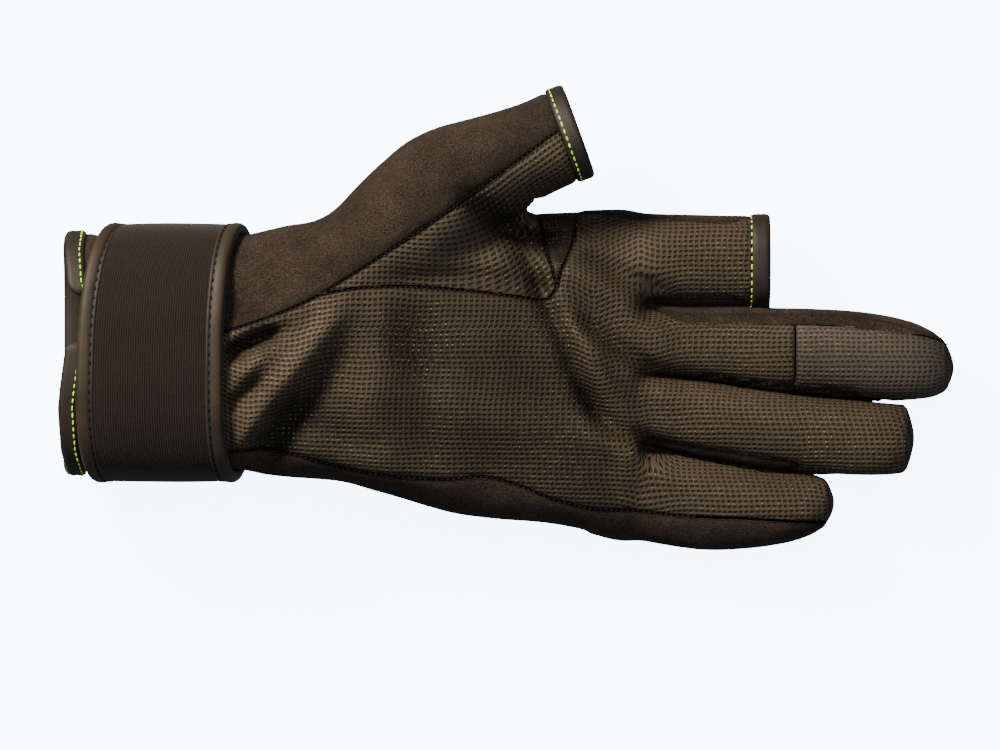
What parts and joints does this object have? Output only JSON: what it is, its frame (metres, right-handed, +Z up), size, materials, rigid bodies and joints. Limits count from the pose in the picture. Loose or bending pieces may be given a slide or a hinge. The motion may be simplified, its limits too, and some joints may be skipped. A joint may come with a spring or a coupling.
{
  "type": "fishing glove",
  "caption": "left-hand neoprene fishing glove with a dimpled grip palm, open thumb and index tips and a wrist strap, lying on its back",
  "frame": {"origin": "under the middle of the glove, on the plane that it rests on", "axes": "+X from the cuff to the fingertips, +Y to the thumb side, +Z up out of the palm"},
  "size_m": [0.2504, 0.1312, 0.0539],
  "materials": {
    "grip_cloth": "coated cloth with rows of small square dimples, satin",
    "neoprene": "knit-faced neoprene, matt",
    "strap_cloth": "finely ribbed stretch cloth, very dark and matt",
    "binding": "smooth rolled edge binding"
  },
  "bodies": {
    "root": {"palm_panel": "grip_cloth", "thumb_panel": "grip_cloth", "thumb_gusset": "grip_cloth", "middle_tip": "grip_cloth", "back_panel": "neoprene", "index_middle_side_strip": "neoprene", "middle_ring_side_strip": "neoprene", "ring_little_side_strip": "neoprene", "cuff_hem": "neoprene", "thumb_hem": "neoprene", "index_hem": "neoprene", "strap": "strap_cloth", "strap_binding_wrist": "binding", "strap_binding_hand": "binding", "hook_pad": "strap_cloth"}
  },
  "joints": []
}
